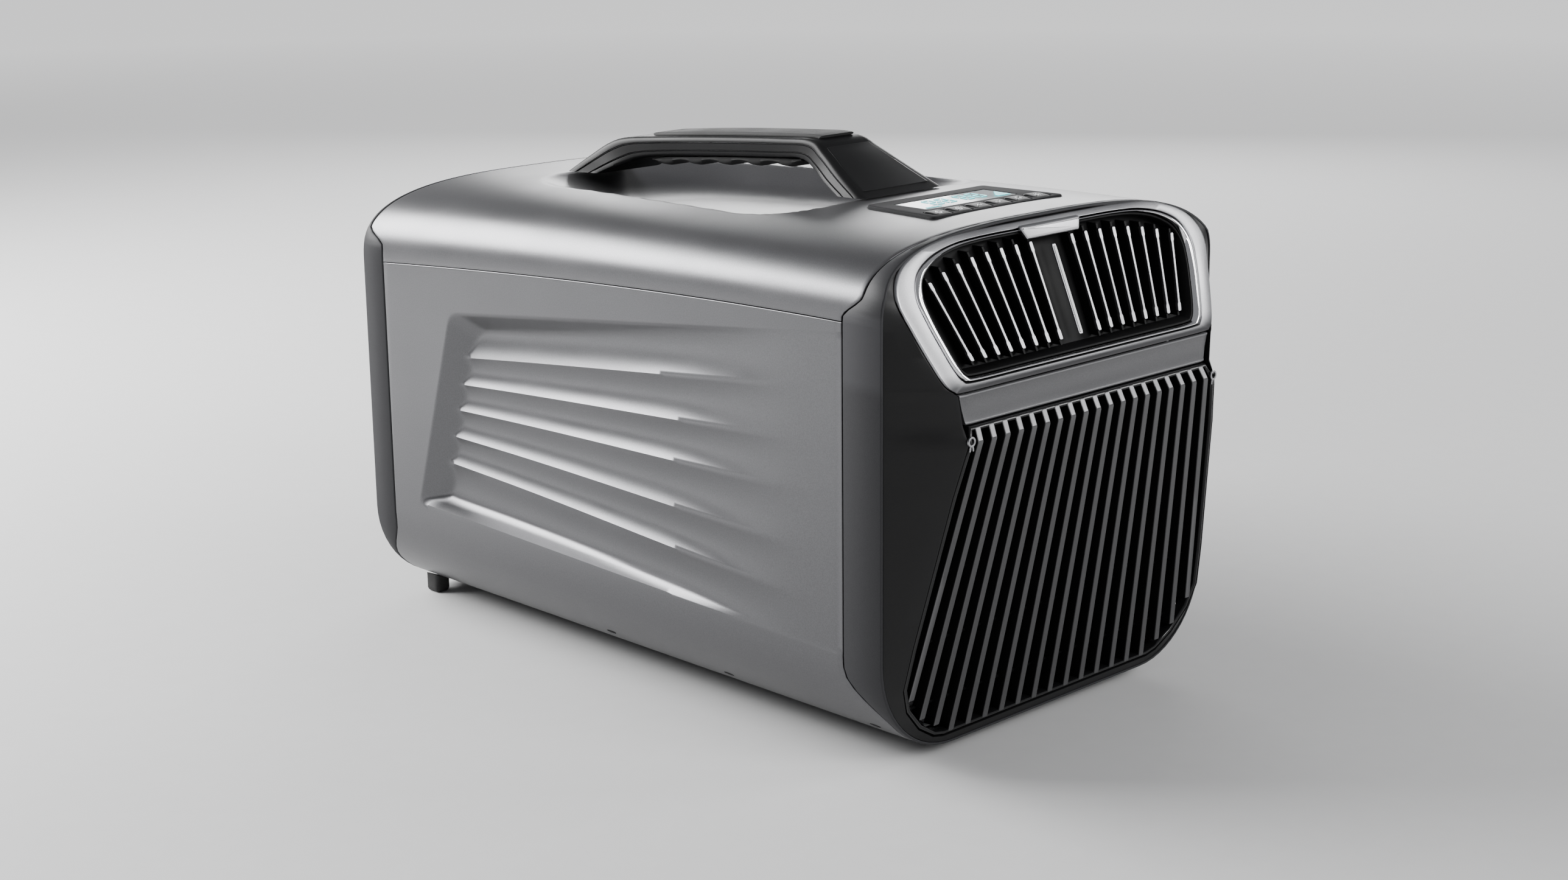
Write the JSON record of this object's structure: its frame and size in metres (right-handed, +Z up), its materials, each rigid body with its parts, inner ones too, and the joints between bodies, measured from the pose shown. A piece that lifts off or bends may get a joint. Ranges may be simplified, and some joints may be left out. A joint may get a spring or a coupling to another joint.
{
  "type": "portable air conditioner",
  "caption": "Carry-handle portable air conditioner with a louvred nose, upper air outlet, lower intake, top control panel and rear vents.",
  "frame": {"origin": "centre of the footprint on the floor, under the feet", "axes": "+Z up, the outlet and intake grilles face -Y, the length runs along Y and the width along X"},
  "size_m": [0.297, 0.518, 0.336],
  "materials": {
    "silver_shell": "satin metallic silver-grey paint on moulded plastic",
    "charcoal_plastic": "fine-textured charcoal moulding",
    "black_plastic": "smooth black moulding",
    "band_grey": "dark grey satin paint",
    "satin_trim": "satin grey metal-look trim",
    "bright_chrome": "bright plated trim",
    "rubber": "matte black rubber",
    "display": "smoked display lens",
    "light_bar": "translucent white diffuser with a silvered face",
    "filter_mesh": "black nylon filter mesh in a frame",
    "coil_fins": "aluminium fins",
    "copper": "copper tube",
    "steel": "zinc-plated steel",
    "compressor_enamel": "black enamel on steel",
    "white_plastic": "natural white moulding",
    "circuit_board": "green circuit board",
    "foam": "closed-cell insulation"
  },
  "bodies": {
    "root": {"top_shell": "silver_shell", "left_side_panel": "silver_shell", "right_side_panel": "silver_shell", "base_pan": "charcoal_plastic", "front_bezel": "charcoal_plastic", "rear_bezel": "charcoal_plastic", "front_panel": "black_plastic", "centre_band": "band_grey", "outlet_trim_ring": "satin_trim", "outlet_chrome_ring": "bright_chrome", "rear_panel": "charcoal_plastic", "power_inlet": "charcoal_plastic", "foot_front_left": "rubber", "foot_front_right": "rubber", "foot_rear_left": "rubber", "foot_rear_right": "rubber", "handle_body": "charcoal_plastic", "handle_grip": "rubber", "handle_top_pad": "charcoal_plastic", "control_panel_bezel": "charcoal_plastic", "display_lens": "display", "control_board": "circuit_board", "evaporator_coil": "coil_fins", "condensate_tray": "white_plastic", "outlet_duct": "white_plastic", "evaporator_scroll": "white_plastic", "evaporator_fan_motor": "steel", "divider_wall": "foam", "compressor": "compressor_enamel", "compressor_mount": "rubber", "accumulator": "compressor_enamel", "condenser_coil": "coil_fins", "condenser_fan_shroud": "charcoal_plastic", "condenser_fan_motor": "steel", "inverter_board": "circuit_board", "inverter_heatsink": "coil_fins", "suction_pipe": "copper", "discharge_pipe": "copper", "liquid_line": "copper", "rear_screw_1": "steel", "rear_screw_2": "steel", "rear_screw_3": "steel", "rear_screw_4": "steel"},
    "evaporator_fan": {"evaporator_fan_wheel": "black_plastic"},
    "condenser_fan": {"condenser_fan_wheel": "black_plastic"},
    "outlet_grille_insert": {"outlet_grille": "black_plastic", "outlet_light_bar": "light_bar"},
    "outlet_latch": {"outlet_latch_tab": "bright_chrome"},
    "intake_cover": {"intake_grille": "black_plastic", "intake_filter": "filter_mesh"},
    "exhaust_cover": {"rear_exhaust_grille": "black_plastic"},
    "rear_intake_cover": {"rear_intake_grille": "black_plastic"},
    "port_flap": {"port_cover": "rubber"},
    "drain_stopper": {"drain_plug": "rubber"},
    "button_1": {"control_button_1": "black_plastic"},
    "button_2": {"control_button_2": "black_plastic"},
    "button_3": {"control_button_3": "black_plastic"},
    "button_4": {"control_button_4": "black_plastic"},
    "button_5": {"control_button_5": "black_plastic"},
    "button_6": {"control_button_6": "black_plastic"}
  },
  "joints": [
    {"name": "evaporator_fan_spin", "type": "hinge", "parent": "root", "child": "evaporator_fan", "pos_m": [0, -0.142, 0.115], "axis": [0, 1, 0], "continuous": true},
    {"name": "condenser_fan_spin", "type": "hinge", "parent": "root", "child": "condenser_fan", "pos_m": [0, 0.208, 0.196], "axis": [0, 1, 0], "continuous": true},
    {"name": "outlet_grille_pull", "type": "slide", "parent": "root", "child": "outlet_grille_insert", "axis": [0, -1, 0], "range_m": [0, 0.02]},
    {"name": "outlet_latch_press", "type": "slide", "parent": "outlet_grille_insert", "child": "outlet_latch", "axis": [0, -0.4017, -0.9158], "range_m": [0, 0.002], "stiffness_N_per_m": 400},
    {"name": "intake_cover_pull", "type": "slide", "parent": "root", "child": "intake_cover", "axis": [0, -1, 0], "range_m": [0, 0.03]},
    {"name": "exhaust_cover_pull", "type": "slide", "parent": "root", "child": "exhaust_cover", "axis": [0, 1, 0], "range_m": [0, 0.02]},
    {"name": "rear_intake_cover_pull", "type": "slide", "parent": "root", "child": "rear_intake_cover", "axis": [0, 1, 0], "range_m": [0, 0.02]},
    {"name": "port_flap_hinge", "type": "hinge", "parent": "root", "child": "port_flap", "pos_m": [0, 0.2525, 0.02], "axis": [-1, 0, 0], "range_deg": [0, 95]},
    {"name": "drain_stopper_pull", "type": "slide", "parent": "root", "child": "drain_stopper", "axis": [0, 0, -1], "range_m": [0, 0.002]},
    {"name": "button_1_press", "type": "slide", "parent": "root", "child": "button_1", "axis": [0, 0, -1], "range_m": [0, 0.0006], "stiffness_N_per_m": 300},
    {"name": "button_2_press", "type": "slide", "parent": "root", "child": "button_2", "axis": [0, 0, -1], "range_m": [0, 0.0006], "stiffness_N_per_m": 300},
    {"name": "button_3_press", "type": "slide", "parent": "root", "child": "button_3", "axis": [0, 0, -1], "range_m": [0, 0.0006], "stiffness_N_per_m": 300},
    {"name": "button_4_press", "type": "slide", "parent": "root", "child": "button_4", "axis": [0, 0, -1], "range_m": [0, 0.0006], "stiffness_N_per_m": 300},
    {"name": "button_5_press", "type": "slide", "parent": "root", "child": "button_5", "axis": [0, 0, -1], "range_m": [0, 0.0006], "stiffness_N_per_m": 300},
    {"name": "button_6_press", "type": "slide", "parent": "root", "child": "button_6", "axis": [0, 0, -1], "range_m": [0, 0.0006], "stiffness_N_per_m": 300}
  ]
}
